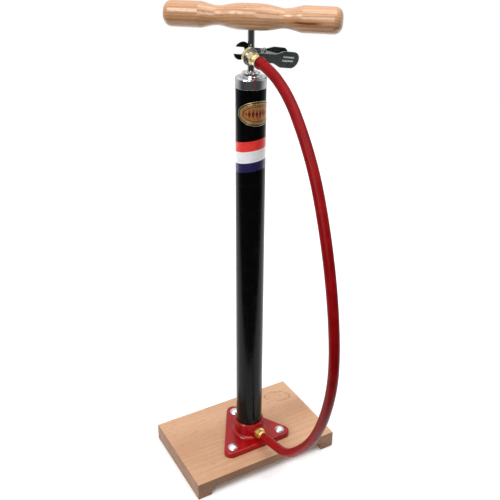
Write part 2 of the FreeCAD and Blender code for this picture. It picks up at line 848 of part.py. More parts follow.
# ---- the whole pump ----------------------------------------------------------------------------------
def main():
    os.makedirs("parts", exist_ok=True)
    left, right = batten_centres()
    save("foot_board", foot_board())
    save("batten_left", batten(left))
    save("batten_right", batten(right))
    save("batten_screws", group([batten_screw(x, y) for x, y in screw_places()]))
    save("base_casting", base_casting())
    save("casting_bolts", at_bolts(casting_bolt))
    save("bolt_washers", at_bolts(bolt_washer))
    save("bolt_nuts", at_bolts(bolt_nut))
    gasket_low = board_top + seat_depth - gasket_thickness
    save("base_gasket", ring(barrel_radius, barrel_bore, gasket_low, gasket_low + gasket_thickness))
    save("bottom_buffer", bottom_buffer())
    save("barrel_tube", barrel_tube())
    save("barrel_cap", barrel_cap())
    save("guide_bush", guide_bush())
    save("rod_wiper", rod_wiper())
    save("gland_nut", gland_nut())
    save("top_buffer", top_buffer())
    save("outlet_body", outlet_body())
    save("outlet_washer", outlet_washer())
    save("valve_ball", valve_ball())
    save("valve_spring", valve_spring())
    save("outlet_tail", outlet_tail())
    save("hose", hose())
    save("cup_seal", cup_seal())
    save("piston_rod", piston_rod())
    save("piston_nut", piston_nut(nut_low, piston_nut_height))
    save("piston_washer", piston_washer())
    save("piston_plate", piston_plate())
    save("piston_lock_nut", piston_nut(lock_low, lock_nut_height))
    save("handle", handle())
    save("handle_insert", handle_insert())
    save("nipple_lever", nipple_lever())
    save("fork_lever", fork_lever())
    save("lever_pin", lever_pin())
    save("lever_spring", lever_spring())
    save("mouth_nut", mouth_nut())
    save("mouth_seal", mouth_seal())
    save("nipple_body", nipple_body())
    save("hose_tail", hose_tail())


main()
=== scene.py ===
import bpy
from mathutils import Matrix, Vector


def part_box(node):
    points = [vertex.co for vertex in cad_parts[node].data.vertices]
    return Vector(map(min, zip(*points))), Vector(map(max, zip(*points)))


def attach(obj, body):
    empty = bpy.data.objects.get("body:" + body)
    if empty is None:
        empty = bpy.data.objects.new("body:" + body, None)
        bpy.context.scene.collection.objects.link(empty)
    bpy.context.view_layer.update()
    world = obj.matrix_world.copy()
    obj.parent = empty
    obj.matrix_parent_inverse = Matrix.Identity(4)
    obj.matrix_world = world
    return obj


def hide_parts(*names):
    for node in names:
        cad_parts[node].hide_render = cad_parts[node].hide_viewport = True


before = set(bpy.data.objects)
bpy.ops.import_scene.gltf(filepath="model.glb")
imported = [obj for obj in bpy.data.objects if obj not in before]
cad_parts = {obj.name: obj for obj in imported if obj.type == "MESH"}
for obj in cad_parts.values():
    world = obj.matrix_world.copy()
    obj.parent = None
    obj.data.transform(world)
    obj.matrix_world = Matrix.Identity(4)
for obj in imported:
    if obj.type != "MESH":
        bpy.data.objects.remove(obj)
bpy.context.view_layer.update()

import math

import bmesh
import bpy
from mathutils import Matrix, Vector

# Floor bike pump: camera, hose, stickers, materials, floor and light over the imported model.
# Metres, in the model's own frame: +Z up, floor at z = 0, the barrel's axis at x = y = 0.

BARREL_RADIUS = 0.019
BOARD_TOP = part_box("foot_board")[1].z
HANDLE_HEIGHT = sum(corner.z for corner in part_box("handle")) / 2
HANDLE_TURN = math.radians(-43.6)

# the picture's camera, as angles of its line of sight
CAMERA_PLACE = (-0.4166, -0.7394, 0.7771)
CAMERA_YAW = math.radians(29.4)
CAMERA_PITCH = math.radians(27.03)
CAMERA_ROLL = 0.0058
CAMERA_LENS = 51.24

# light: the studio's levels round the pump, and three far soft lamps (bearing, height, strength, size)
WORLD_FRONT = 0.10
WORLD_HORIZON = 0.70
WORLD_TOP = 1.35
KEY_LAMP = (-76, 38, 1.3, 26)
TOP_LAMP = (10, 78, 1.75, 50)
FILL_LAMP = (-42, 20, 0.9, 30)
FLOOR_RADIUS = 1.35
FLOOR_BACK = 1.1              # how far the floor's centre lies behind the pump, as the camera sees it

# hose: the route's points, from the outlet to the head
HOSE_DIAMETER = 0.0127
HOSE_ROUTE = [
    (0.003867, -0.036797, 0.0475), (0.006585, -0.062655, 0.0505), (0.006, -0.096, 0.0612),
    (0.004, -0.126, 0.090), (-0.001, -0.167, 0.142), (-0.008, -0.201, 0.210), (-0.015, -0.222, 0.287),
    (-0.019, -0.218, 0.370), (-0.018, -0.194, 0.452), (-0.010, -0.149, 0.523),
    (-0.000306, -0.070439, 0.589435), (-0.00514, -0.028657, 0.598375),
]
HOSE_SWELL = 0.0077           # its radius at the head, where it is stretched over the tail
HOSE_SWELL_LENGTH = 0.0105

# valve head: the nipple's axis and where it starts, and heights above that start along the axis
NIPPLE_START = Vector((-0.008344, -0.000965, 0.6043))
NIPPLE_OUT = Vector((0.112425, -0.971665, -0.207912))
PAD_FACE = 0.0122
RIB_TOP = 0.0130
HOSE_END = 0.0285

# tri-colour band: a strip round the barrel, cut by planes that lean by these slopes
BAND_SLOPE_X = 0.122
BAND_SLOPE_Y = -0.134
BAND_EDGES = (0.4610, 0.4729, 0.4876, 0.5004)

# oval badge, unrolled on the barrel's front
BADGE_HEIGHT = 0.5353
BADGE_HALF_WIDTH = 0.0266
BADGE_HALF_HEIGHT = 0.0152

# mark burnt into the board's top
MARK_CENTRE = (0.0845, 0.0565)
MARK_HALF = (0.0223, 0.0124)
MARK_TURN = math.radians(-22)


# ---- camera ------------------------------------------------------------------------------------
def make_camera():
    forward = Vector((math.sin(CAMERA_YAW) * math.cos(CAMERA_PITCH),
                      math.cos(CAMERA_YAW) * math.cos(CAMERA_PITCH), -math.sin(CAMERA_PITCH)))
    level = Vector((math.cos(CAMERA_YAW), -math.sin(CAMERA_YAW), 0))
    upright = level.cross(forward)
    right = level * math.cos(CAMERA_ROLL) + upright * math.sin(CAMERA_ROLL)
    up = upright * math.cos(CAMERA_ROLL) - level * math.sin(CAMERA_ROLL)
    camera = bpy.data.objects.new("camera", bpy.data.cameras.new("camera"))
    camera.data.lens = CAMERA_LENS
    camera.data.sensor_width = 36
    camera.data.clip_start = 0.02
    camera.data.clip_end = 200
    turn = Matrix((right, up, -forward)).transposed()
    camera.matrix_world = Matrix.Translation(CAMERA_PLACE) @ turn.to_4x4()
    bpy.context.scene.collection.objects.link(camera)
    bpy.context.scene.camera = camera


# ---- node trees ----------------------------------------------------------------------------------
def linear(red, green, blue):
    """A colour given as 0-255 display values, as the linear values that shaders take."""
    def one(v):
        v /= 255
        return v / 12.92 if v <= 0.04045 else ((v + 0.055) / 1.055) ** 2.4
    return (one(red), one(green), one(blue), 1.0)


class Paint:
    """A material under construction: a Principled shader and short calls for the nodes before it."""

    def __init__(self, name, **shader):
        self.material = bpy.data.materials.new(name)
        self.material.use_nodes = True
        self.nodes = self.material.node_tree.nodes
        self.links = self.material.node_tree.links
        self.shader = self.nodes["Principled BSDF"]
        self.place = self.nodes.new("ShaderNodeTexCoord").outputs["Object"]
        for socket, value in shader.items():
            self.shader.inputs[socket.replace("_", " ")].default_value = value

    def feed(self, socket, value):
        if isinstance(value, bpy.types.NodeSocket):
            self.links.new(value, socket)
        else:
            socket.default_value = value

    def set(self, name, value):
        self.feed(self.shader.inputs[name], value)

    def math(self, operation, first, second=0.0, third=0.0):
        node = self.nodes.new("ShaderNodeMath")
        node.operation = operation
        for socket, value in zip(node.inputs, (first, second, third)):
            self.feed(socket, value)
        return node.outputs[0]

    def vector(self, operation, first, second=(0, 0, 0)):
        node = self.nodes.new("ShaderNodeVectorMath")
        node.operation = operation
        self.feed(node.inputs[0], first)
        self.feed(node.inputs[1], second)
        return node.outputs["Value" if operation in ("LENGTH", "DOT_PRODUCT", "DISTANCE") else "Vector"]

    def mapped(self, scale=(1, 1, 1), turn=(0, 0, 0), shift=(0, 0, 0), source=None):
        node = self.nodes.new("ShaderNodeMapping")
        self.links.new(source or self.place, node.inputs["Vector"])
        node.inputs["Location"].default_value = shift
        node.inputs["Rotation"].default_value = turn
        node.inputs["Scale"].default_value = scale
        return node.outputs[0]

    def noise(self, scale, source=None, detail=3.0, roughness=0.55, distortion=0.0):
        node = self.nodes.new("ShaderNodeTexNoise")
        self.links.new(source or self.place, node.inputs["Vector"])
        node.inputs["Scale"].default_value = scale
        node.inputs["Detail"].default_value = detail
        node.inputs["Roughness"].default_value = roughness
        node.inputs["Distortion"].default_value = distortion
        return node.outputs["Fac"]

    def between(self, value, low, high, to_low=0.0, to_high=1.0):
        """Value's range low to high, smoothed and carried to another range."""
        node = self.nodes.new("ShaderNodeMapRange")
        node.interpolation_type = "SMOOTHSTEP"
        for socket, number in zip(node.inputs, (value, low, high, to_low, to_high)):
            self.feed(socket, number)
        return node.outputs[0]

    def ramp(self, value, stops):
        node = self.nodes.new("ShaderNodeValToRGB")
        self.links.new(value, node.inputs[0])
        band = node.color_ramp
        while len(band.elements) < len(stops):
            band.elements.new(0.5)
        for element, (place, colour) in zip(band.elements, stops):
            element.position = place
            element.color = colour
        return node.outputs["Color"]

    def mix(self, share, first, second, mode="MIX"):
        node = self.nodes.new("ShaderNodeMix")
        node.data_type = "RGBA"
        node.blend_type = mode
        for socket, value in ((node.inputs[0], share), (node.inputs[6], first), (node.inputs[7], second)):
            self.feed(socket, value)
        return node.outputs[2]

    def bump(self, height, strength, distance, normal=None):
        node = self.nodes.new("ShaderNodeBump")
        node.inputs["Strength"].default_value = strength
        node.inputs["Distance"].default_value = distance
        self.links.new(height, node.inputs["Height"])
        if normal is not None:
            self.links.new(normal, node.inputs["Normal"])
        self.links.new(node.outputs[0], self.shader.inputs["Normal"])
        return node.outputs[0]

    def edges(self, radius, low, high):
        """1 along sharp edges, 0 elsewhere."""
        rounded = self.nodes.new("ShaderNodeBevel")
        rounded.samples = 4
        rounded.inputs["Radius"].default_value = radius
        flat = self.nodes.new("ShaderNodeNewGeometry").outputs["Normal"]
        same = self.vector("DOT_PRODUCT", rounded.outputs[0], flat)
        return self.between(same, high, low)

    def along_nipple(self):
        """Distance from the valve head's origin along its nipple."""
        from_start = self.vector("SUBTRACT", self.place, tuple(NIPPLE_START))
        return self.vector("DOT_PRODUCT", from_start, tuple(NIPPLE_OUT))

    def beside_nipple(self):
        """Distance from the nipple's axis."""
        from_start = self.vector("SUBTRACT", self.place, tuple(NIPPLE_START))
        return self.vector("LENGTH", self.vector("CROSS_PRODUCT", from_start, tuple(NIPPLE_OUT)))

    def axes(self, source=None):
        node = self.nodes.new("ShaderNodeSeparateXYZ")
        self.links.new(source or self.place, node.inputs[0])
        return node.outputs


# ---- wood ------------------------------------------------------------------------------------------
def wood(name, along, pith, tones, ring, bands, shader):
    """Beech: annual rings about a pith line, long pores, short rays; along turns the grain onto X."""
    paint = Paint(name, **shader)
    lined = paint.mapped(turn=along)
    wander = paint.noise(9, paint.mapped((0.35, 1, 1), source=lined), detail=2)
    ringed = paint.mapped((0.02, 1, 1), shift=pith, source=lined)
    reach = paint.vector("LENGTH", ringed)
    reach = paint.math("ADD", reach, paint.math("MULTIPLY", wander, 0.02))
    rings = paint.math("SINE", paint.math("MULTIPLY", reach, 2 * math.pi / ring))
    rings = paint.between(rings, -1, 1)
    broad = paint.noise(14, paint.mapped((0.25, 1, 1), source=lined), detail=3)
    pores = paint.noise(900, paint.mapped((0.03, 1, 1), source=lined), detail=2)
    rays = paint.noise(620, paint.mapped((0.22, 1.3, 1.3), source=lined), detail=1)
    rays = paint.between(rays, 0.62, 0.74)
    dark, middle, light, streak, ray = (linear(*tone) for tone in tones)
    colour = paint.ramp(broad, [(0.30, dark), (0.50, middle), (0.70, light)])
    colour = paint.mix(paint.math("MULTIPLY", rings, bands), colour, streak)
    colour = paint.mix(paint.math("MULTIPLY", paint.between(pores, 0.50, 0.72), 0.40), colour, streak)
    colour = paint.mix(paint.math("MULTIPLY", rays, 0.45), colour, ray)
    height = paint.math("ADD", paint.math("MULTIPLY", pores, 0.6), paint.math("MULTIPLY", rays, -0.5))
    return paint, lined, colour, height


def handle_wood():
    paint, lined, colour, height = wood(
        "handle_wood_varnished", (0, 0, -HANDLE_TURN), (0, 0.040, -HANDLE_HEIGHT + 0.055),
        [(190, 136, 94), (206, 157, 116), (219, 176, 134), (160, 100, 58), (136, 78, 44)], 0.0031, 0.38,
        {"Coat_Weight": 0.8, "Coat_Roughness": 0.12, "Specular_IOR_Level": 0.3})
    # a brown heart streak in the right bulb, patchy fainter darkening all along the lower side, and one
    # small knot
    along = paint.axes(lined)
    wobble = paint.noise(16, paint.mapped((0.5, 0, 0), source=lined), detail=3)
    level = paint.math("SUBTRACT", along["Z"], paint.math("MULTIPLY", wobble, 0.008))
    heart = paint.math("ABSOLUTE", paint.math("SUBTRACT", level, HANDLE_HEIGHT - 0.0056))
    ends = paint.math("MULTIPLY", paint.between(along["X"], 0.044, 0.060),
                      paint.between(along["X"], 0.088, 0.074))
    heart_halo = paint.math("MULTIPLY", paint.between(heart, 0.0048, 0.0008), ends)
    heart_core = paint.math("MULTIPLY", paint.between(heart, 0.0015, 0.0004), ends)
    colour = paint.mix(paint.math("MULTIPLY", heart_halo, 0.55), colour, linear(168, 92, 50))
    colour = paint.mix(paint.math("MULTIPLY", heart_core, 0.80), colour, linear(92, 42, 22))
    low = paint.math("ABSOLUTE", paint.math("SUBTRACT", level, HANDLE_HEIGHT - 0.0110))
    patchy = paint.between(paint.noise(22, paint.mapped((0.6, 1, 1), source=lined), detail=2), 0.42, 0.60)
    low = paint.math("MULTIPLY", paint.between(low, 0.0050, 0.0005), patchy)
    colour = paint.mix(paint.math("MULTIPLY", low, 0.50), colour, linear(142, 80, 42))
    knot = paint.vector("DISTANCE", paint.mapped((0.55, 1, 1), source=lined),
                        (-0.008, -0.0139, HANDLE_HEIGHT + 0.0058))
    knotted = paint.math("MULTIPLY", paint.between(knot, 0.0022, 0.0004), 0.7)
    colour = paint.mix(knotted, colour, linear(118, 62, 38))
    paint.set("Base Color", colour)
    paint.set("Roughness", paint.between(paint.noise(40, detail=3), 0.3, 0.7, 0.26, 0.40))
    paint.bump(height, 0.10, 0.0004)
    return paint.material


def board_paint(name, along, pith, mark=False):
    paint, _, colour, height = wood(
        name, along, pith,
        [(174, 131, 100), (188, 147, 116), (200, 160, 129), (156, 110, 76), (138, 94, 62)], 0.0046, 0.20,
        {"Specular_IOR_Level": 0.3})
    # painted shade: faces turned sideways (normals along X and along Y) are darkened towards deep brown,
    # partly the end and edge grain's own darker tone and partly shade painted where the sides get less
    # light than the top
    facing = paint.axes(paint.nodes.new("ShaderNodeNewGeometry").outputs["Normal"])
    ends = paint.between(paint.math("ABSOLUTE", facing["X"]), 0.35, 0.75, 0.0, 0.60)
    side_grain_and_shade = paint.between(paint.math("ABSOLUTE", facing["Y"]), 0.35, 0.75, 0.0, 0.80)
    colour = paint.mix(paint.math("MAXIMUM", ends, side_grain_and_shade), colour, linear(86, 56, 37))
    rubbed = paint.math("MULTIPLY", paint.edges(0.0011, 0.80, 0.99), 0.30)
    colour = paint.mix(rubbed, colour, linear(148, 106, 75))
    handled = paint.between(paint.noise(11, detail=4), 0.52, 0.72)
    colour = paint.mix(paint.math("MULTIPLY", handled, 0.16), colour, linear(166, 124, 90))
    if mark:
        scorch = burnt_mark(paint)
        colour = paint.mix(paint.math("MULTIPLY", scorch, 0.55), colour, linear(122, 78, 44))
        height = paint.math("SUBTRACT", height, paint.math("MULTIPLY", scorch, 1.2))
    paint.set("Base Color", colour)
    paint.set("Roughness", paint.between(paint.noise(60, detail=3), 0.3, 0.7, 0.44, 0.60))
    paint.bump(height, 0.16, 0.0005)
    return paint.material


def burnt_mark(paint):
    """A plain oval outline with a fainter one inside it, burnt unevenly into the top."""
    turn = Matrix.Rotation(-MARK_TURN, 3, "Z")
    centre = turn @ Vector((*MARK_CENTRE, 0))
    local = paint.mapped(turn=(0, 0, -MARK_TURN), shift=-centre)
    unit = paint.mapped((1 / MARK_HALF[0], 1 / MARK_HALF[1], 0), source=local)
    reach = paint.vector("LENGTH", unit)
    outer = paint.between(paint.math("ABSOLUTE", paint.math("SUBTRACT", reach, 0.95)), 0.085, 0.03)
    inner = paint.between(paint.math("ABSOLUTE", paint.math("SUBTRACT", reach, 0.68)), 0.05, 0.01)
    hub = paint.between(paint.math("ABSOLUTE", paint.math("SUBTRACT", reach, 0.26)), 0.09, 0.03)
    lines = paint.math("MAXIMUM", outer, paint.math("MULTIPLY", paint.math("MAXIMUM", inner, hub), 0.7))
    halo = paint.math("MULTIPLY", paint.between(reach, 1.22, 0.8), 0.14)
    uneven = paint.between(paint.noise(120, detail=3), 0.34, 0.62, 0.35, 1.0)
    top_only = paint.between(paint.axes()["Z"], BOARD_TOP - 0.0008, BOARD_TOP - 0.0003)
    scorched = paint.math("MULTIPLY", paint.math("MAXIMUM", lines, halo), uneven)
    return paint.math("MULTIPLY", scorched, top_only)


# ---- metal and paint -------------------------------------------------------------------------------
def metal(name, colour, roughness, smudge=0.06, grain=(1, 1, 1), grain_scale=700, depth=0.05, tarnish=None):
    """Plated or machined metal: fine marks along a direction, and faint smudges in the gloss."""
    paint = Paint(name, Metallic=1.0)
    fine = paint.noise(grain_scale, paint.mapped(grain), detail=2)
    cloud = paint.noise(95, detail=4)
    dull = tarnish or [0.9 * c for c in colour]
    shade = paint.mix(paint.between(cloud, 0.35, 0.7), linear(*colour), linear(*dull))
    paint.set("Base Color", shade)
    low, high = roughness - smudge / 2, roughness + smudge
    marks = paint.math("ADD", paint.math("MULTIPLY", cloud, 0.6), paint.math("MULTIPLY", fine, 0.4))
    paint.set("Roughness", paint.between(marks, 0.35, 0.65, low, high))
    paint.bump(fine, depth, 0.0002)
    return paint.material


def lever_plate():
    """Dark plating on pressed steel, painted lighter along the sheared edges, on top of the ribs and in a
    ring round the nipple: painted highlight there, partly real wear.
    """
    paint = Paint("lever_plate", Metallic=1.0)
    cloud = paint.noise(70, detail=3)
    fine = paint.noise(1100, detail=2)
    shade = paint.mix(paint.between(cloud, 0.35, 0.7), linear(130, 141, 138), linear(112, 123, 119))
    ribs = paint.between(paint.along_nipple(), PAD_FACE + 0.0001, RIB_TOP - 0.0004)
    nipple_ring_highlight_and_wear = paint.math("MULTIPLY", paint.between(paint.beside_nipple(), 0.0102, 0.0099),
                      paint.between(paint.along_nipple(), PAD_FACE - 0.0004, PAD_FACE - 0.0002))
    rubbed = paint.math("MULTIPLY", paint.edges(0.0006, 0.80, 0.99), 0.45)
    # painted highlight: lighter metal on the rib tops, the ring round the nipple and the sheared edges,
    # standing for the bright lines the light draws there, partly real wear
    worn = paint.math("MAXIMUM", paint.math("MAXIMUM", ribs, nipple_ring_highlight_and_wear), rubbed)
    paint.set("Base Color", paint.mix(worn, shade, linear(226, 234, 232)))
    paint.set("Roughness", paint.math("ADD", paint.between(cloud, 0.35, 0.65, 0.20, 0.30),
                                      paint.math("MULTIPLY", ribs, 0.25)))
    paint.bump(fine, 0.04, 0.0002)
    return paint.material


def nipple_brass():
    """Brass nut over a nickel-plated flange."""
    paint = Paint("nipple_brass", Metallic=1.0)
    fine = paint.noise(520, detail=2)
    cloud = paint.noise(95, detail=4)
    brass = paint.mix(paint.between(cloud, 0.35, 0.7), linear(246, 230, 186), linear(230, 206, 146))
    flange = paint.between(paint.along_nipple(), PAD_FACE + 0.0016, PAD_FACE + 0.0012)
    paint.set("Base Color", paint.mix(flange, brass, linear(236, 236, 234)))
    paint.set("Roughness", paint.mix(flange, (0.36, 0.36, 0.36, 1), (0.15, 0.15, 0.15, 1)))
    paint.bump(fine, 0.05, 0.0002)
    return paint.material


def red_enamel():
    """Thick glossy enamel over a rough sand casting."""
    paint = Paint("red_enamel_gloss", Coat_Weight=0.40, Coat_Roughness=0.08, Roughness=0.36,
                  Specular_IOR_Level=0.18)
    cast = paint.noise(260, detail=4, roughness=0.6)
    lumps = paint.noise(70, detail=2)
    colour = paint.mix(paint.between(lumps, 0.35, 0.65), linear(152, 4, 8), linear(134, 3, 6))
    worn = paint.math("MULTIPLY", paint.edges(0.0007, 0.80, 0.97), paint.between(cast, 0.50, 0.62))
    colour = paint.mix(paint.math("MULTIPLY", worn, 0.30), colour, linear(96, 8, 12))
    paint.set("Base Color", colour)
    height = paint.math("ADD", paint.math("MULTIPLY", cast, 0.3), paint.math("MULTIPLY", lumps, 0.8))
    paint.bump(height, 0.22, 0.0007)
    return paint.material


def black_enamel():
    """Stove-enamelled tube, with the drawn tube's faint lines and a little dust in the gloss."""
    paint = Paint("black_enamel_gloss", Specular_IOR_Level=0.30, IOR=1.34)
    drawn = paint.noise(420, paint.mapped((1, 1, 0.006)), detail=2)
    dust = paint.noise(130, detail=5)
    paint.set("Base Color", paint.mix(paint.between(dust, 0.50, 0.80), linear(5, 5, 6), linear(14, 13, 14)))
    paint.set("Roughness", paint.between(dust, 0.35, 0.75, 0.16, 0.27))
    paint.bump(drawn, 0.05, 0.0002)
    return paint.material


def hose_rubber():
    """Satin red rubber, dusty in places, with painted shade darkening its end where it is stretched over
    the head's tail.
    """
    paint = Paint("red_rubber_satin", Specular_IOR_Level=0.11)
    bloom = paint.noise(55, detail=5)
    pebble = paint.noise(1500, detail=2)
    colour = paint.mix(paint.between(bloom, 0.38, 0.70), linear(126, 5, 9), linear(142, 10, 14))
    # painted shade: the hose within 1.4 mm of the head darkened to deep maroon, fading out by 3 mm, for the
    # shade where the stretched end turns
    lip = paint.between(paint.along_nipple(), HOSE_END + 0.0030, HOSE_END + 0.0014)
    colour = paint.mix(paint.math("MULTIPLY", lip, 0.90), colour, linear(48, 4, 6))
    paint.set("Base Color", colour)
    paint.set("Roughness", paint.between(bloom, 0.3, 0.7, 0.32, 0.46))
    paint.bump(pebble, 0.06, 0.0002)
    return paint.material


def rubber(name, colour, light, roughness, gloss=0.4):
    paint = Paint(name, Specular_IOR_Level=gloss)
    bloom = paint.noise(55, detail=5)
    pebble = paint.noise(1500, detail=2)
    paint.set("Base Color", paint.mix(paint.between(bloom, 0.38, 0.70), linear(*colour), linear(*light)))
    paint.set("Roughness", paint.between(bloom, 0.3, 0.7, roughness - 0.06, roughness + 0.08))
    paint.bump(pebble, 0.06, 0.0002)
    return paint.material


def woven(name, dark, light, roughness):
    """Fibre, felt and leather: a short matted grain."""
    paint = Paint(name, Specular_IOR_Level=0.2)
    matted = paint.noise(900, detail=4, distortion=1.2)
    paint.set("Base Color", paint.mix(paint.between(matted, 0.35, 0.65), linear(*dark), linear(*light)))
    paint.set("Roughness", paint.between(matted, 0.3, 0.7, roughness - 0.08, roughness + 0.06))
    paint.bump(matted, 0.4, 0.0004)
    return paint.material


# ---- hose ------------------------------------------------------------------------------------------
def make_hose(material):
    data = bpy.data.curves.new("red_hose", "CURVE")
    data.dimensions = "3D"
    spline = data.splines.new("NURBS")
    spline.points.add(len(HOSE_ROUTE) - 1)
    for point, place in zip(spline.points, HOSE_ROUTE):
        point.co = (*place, 1)
    spline.order_u = 3
    spline.use_endpoint_u = True
    spline.resolution_u = 16
    data.bevel_depth = HOSE_DIAMETER / 2
    data.bevel_resolution = 8
    data.use_fill_caps = True
    data.materials.append(material)
    hose = bpy.data.objects.new("red_hose", data)
    bpy.context.scene.collection.objects.link(hose)
    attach(hose, "stand")
    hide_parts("hose")


def make_hose_lip(material):
    """The hose's end on the head, stretched wider over the tail."""
    across = NIPPLE_OUT.orthogonal().normalized()
    beside = NIPPLE_OUT.cross(across)
    start = NIPPLE_START + NIPPLE_OUT * HOSE_END
    thin = HOSE_DIAMETER / 2
    rows = []
    steps = 14
    outline = [(-0.0002, thin - 0.0012), (-0.0003, HOSE_SWELL - 0.0006), (0.0001, HOSE_SWELL)]
    for k in range(1, steps + 1):
        share = k / steps
        ease = (1 - share) ** 2 * (1 + 2 * share)
        outline.append((HOSE_SWELL_LENGTH * share, thin - 0.0001 + (HOSE_SWELL - thin + 0.0001) * ease))
    for height, radius in outline:
        ring = [2 * math.pi * k / 48 for k in range(48)]
        rows.append([start + NIPPLE_OUT * height + (across * math.cos(a) + beside * math.sin(a)) * radius
                     for a in ring])
    mesh_piece("hose_lip", strip(rows), [material])


# ---- stickers ----------------------------------------------------------------------------------------
def mesh_piece(name, mesh, materials):
    data = bpy.data.meshes.new(name)
    mesh.normal_update()
    mesh.to_mesh(data)
    mesh.free()
    for material in materials:
        data.materials.append(material)
    for polygon in data.polygons:
        polygon.use_smooth = True
    piece = bpy.data.objects.new(name, data)
    bpy.context.scene.collection.objects.link(piece)
    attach(piece, "stand")
    return piece


def strip(rows):
    """A closed skin over equal rows of points."""
    mesh = bmesh.new()
    made = [[mesh.verts.new(p) for p in row] for row in rows]
    for first, second in zip(made, made[1:]):
        for k in range(len(first)):
            after = (k + 1) % len(first)
            mesh.faces.new((first[k], first[after], second[after], second[k]))
    mesh.faces.new(reversed(made[0]))
    mesh.faces.new(made[-1])
    return mesh


def band_colours():
    paint = Paint("band_print", Coat_Weight=0.5, Coat_Roughness=0.12)
    axes = paint.axes()
    level = paint.math("SUBTRACT", axes["Z"], paint.math("MULTIPLY", axes["X"], BAND_SLOPE_X))
    level = paint.math("SUBTRACT", level, paint.math("MULTIPLY", axes["Y"], BAND_SLOPE_Y))
    waver = paint.math("MULTIPLY", paint.math("SUBTRACT", paint.noise(600), 0.5), 0.0002)
    level = paint.math("ADD", level, waver)
    scuff = paint.noise(180, detail=5)
    white = paint.mix(paint.between(scuff, 0.5, 0.8), linear(250, 250, 252), linear(232, 232, 236))
    red = paint.mix(paint.between(scuff, 0.4, 0.7), linear(246, 66, 58), linear(230, 50, 48))
    navy = paint.mix(paint.between(scuff, 0.4, 0.7), linear(34, 28, 86), linear(26, 22, 66))
    red_share = paint.between(level, BAND_EDGES[2] - 0.00012, BAND_EDGES[2] + 0.00012)
    navy_share = paint.between(level, BAND_EDGES[1] + 0.00012, BAND_EDGES[1] - 0.00012)
    colour = paint.mix(navy_share, paint.mix(red_share, white, red), navy)
    paint.set("Base Color", colour)
    paint.set("Roughness", paint.between(scuff, 0.3, 0.7, 0.26, 0.42))
    paint.bump(scuff, 0.04, 0.0002)
    return paint.material


def make_band():
    """A strip wrapped once round the barrel, its end lapped over its start at the back."""
    start, finish, steps = math.radians(72), math.radians(72 + 385), 154
    inner, film = BARREL_RADIUS + 0.00002, 0.00009
    rows = []
    for k in range(steps + 1):
        angle = start + (finish - start) * k / steps
        lift = film * 1.3 if angle > start + 2 * math.pi - 0.05 else 0
        near, far = inner + lift, inner + lift + film
        low, high = BAND_EDGES[0], BAND_EDGES[-1]
        row = []
        for radius, level in ((near, low), (near, high), (far, high), (far, low)):
            x, y = radius * math.cos(angle), radius * math.sin(angle)
            row.append((x, y, level + BAND_SLOPE_X * x + BAND_SLOPE_Y * y))
        rows.append(row)
    piece = mesh_piece("tricolour_band", strip(rows), [band_colours()])
    piece.data.shade_flat()
    return piece


def badge_point(across, up, out):
    angle = across / BARREL_RADIUS - math.pi / 2
    radius = BARREL_RADIUS + out
    return (radius * math.cos(angle), radius * math.sin(angle), BADGE_HEIGHT + up)


def badge_face():
    """Printed field of the badge: orange gold, with a row of dark red lozenges inside a fine line."""
    paint = Paint("badge_print", Coat_Weight=0.6, Coat_Roughness=0.1, Metallic=0.35)
    axes = paint.axes()
    around = paint.math("ARCTAN2", axes["X"], paint.math("MULTIPLY", axes["Y"], -1))
    across = paint.math("MULTIPLY", around, BARREL_RADIUS * 1000)
    up = paint.math("MULTIPLY", paint.math("SUBTRACT", axes["Z"], BADGE_HEIGHT), 1000)
    cell = paint.math("SUBTRACT", paint.math("FRACT", paint.math("DIVIDE", across, 4.6)), 0.5)
    wide = paint.math("DIVIDE", across, 19.0)
    tall = paint.math("DIVIDE", up, 9.0)
    squares = paint.math("ADD", paint.math("MULTIPLY", wide, wide), paint.math("MULTIPLY", tall, tall))
    lens = paint.math("SQRT", squares)
    reach = paint.math("ADD", paint.math("ABSOLUTE", paint.math("MULTIPLY", cell, 2.0)),
                       paint.math("DIVIDE", paint.math("ABSOLUTE", up), 6.4))
    lozenges = paint.math("MULTIPLY", paint.between(reach, 0.84, 0.78), paint.between(lens, 0.86, 0.82))
    line = paint.between(paint.math("ABSOLUTE", paint.math("SUBTRACT", lens, 1.02)), 0.05, 0.03)
    motif = paint.math("MAXIMUM", line, lozenges)
    glint = paint.noise(300, detail=3)
    field = paint.mix(paint.between(glint, 0.35, 0.65), linear(200, 150, 90), linear(172, 118, 64))
    colour = paint.mix(motif, field, linear(140, 28, 16))
    paint.set("Base Color", colour)
    paint.set("Roughness", paint.between(glint, 0.3, 0.7, 0.28, 0.42))
    paint.bump(motif, 0.5, 0.0002)
    return paint.material


